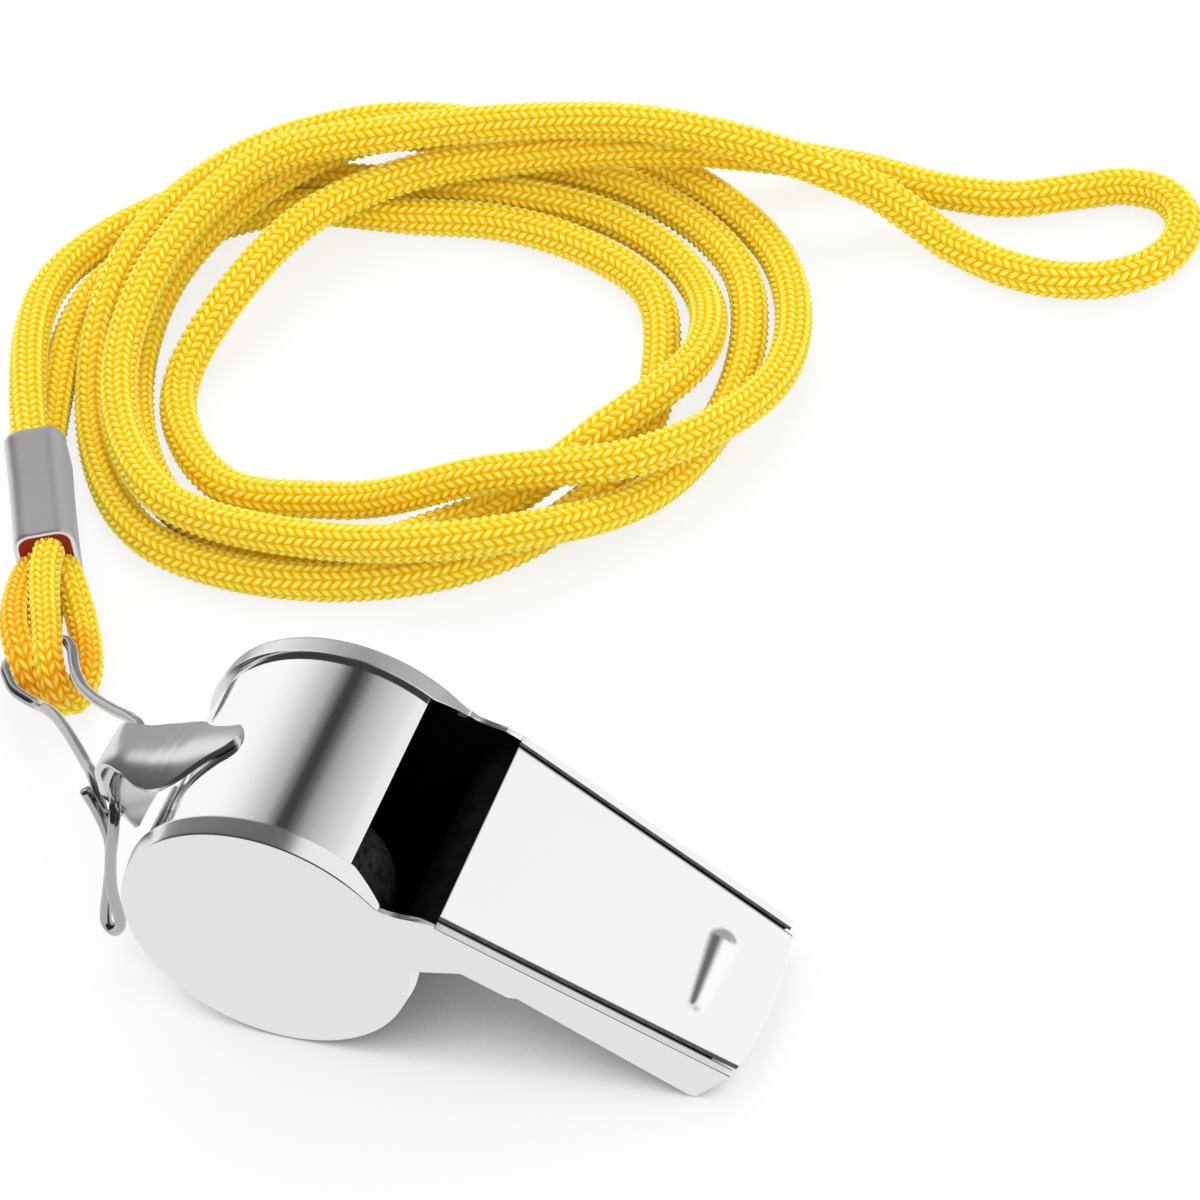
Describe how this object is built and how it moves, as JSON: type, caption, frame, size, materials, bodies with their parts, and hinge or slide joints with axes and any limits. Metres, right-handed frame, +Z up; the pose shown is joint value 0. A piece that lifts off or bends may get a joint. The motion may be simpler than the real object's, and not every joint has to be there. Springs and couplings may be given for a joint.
{
  "type": "pea whistle on neck cord",
  "caption": "Sheet-metal pea whistle with a cork pea, a rear lug, a bent wire clip and a doubled knitted neck cord held by a crimped sleeve.",
  "frame": {"origin": "on the floor under the middle of the whistle's length and width, the cord and clip left out", "axes": "+X from the barrel toward the blown end, +Y along the barrel's axis from the near disc to the far one, +Z up"},
  "size_m": [0.0924, 0.1027, 0.023],
  "materials": {
    "plated_strip": "bright nickel plate on sheet steel",
    "plated_inside": "dull plate inside the air slit",
    "plated_side": "satin nickel plate on the discs",
    "plated_lug": "bright nickel plate",
    "cork": "dark cork",
    "spring_wire": "bright drawn wire",
    "sleeve_metal": "pressed strip, slightly dull",
    "cord_yarn": "golden yellow knitted yarn"
  },
  "bodies": {
    "whistle": {"barrel_strip": "plated_strip", "mouthpiece_top": "plated_strip", "windway_ramp": "plated_inside", "near_side_plate": "plated_side", "far_side_plate": "plated_side", "lanyard_lug": "plated_lug"},
    "pea": {"cork_pea": "cork"},
    "clip": {"wire_clip": "spring_wire"},
    "lanyard": {"crimp_sleeve": "sleeve_metal", "crimped_cord_core": "cord_yarn", "upper_cord_eye": "cord_yarn", "lower_cord_eye": "cord_yarn", "neck_cord": "cord_yarn"}
  },
  "joints": [
    {"name": "pea_orbit", "type": "hinge", "parent": "whistle", "child": "pea", "pos_m": [-0.00976, 0, 0.0115], "axis": [0, 1, 0], "continuous": true},
    {"name": "clip_swing", "type": "hinge", "parent": "whistle", "child": "clip", "pos_m": [-0.02416, 0, 0.016], "axis": [0, 1, 0], "range_deg": [-10, 55]},
    {"name": "lanyard_swing", "type": "hinge", "parent": "clip", "child": "lanyard", "pos_m": [-0.04206, 0.0197, 0.00355], "axis": [0.7894, 0.6139, 0], "range_deg": [-5, 60]}
  ]
}
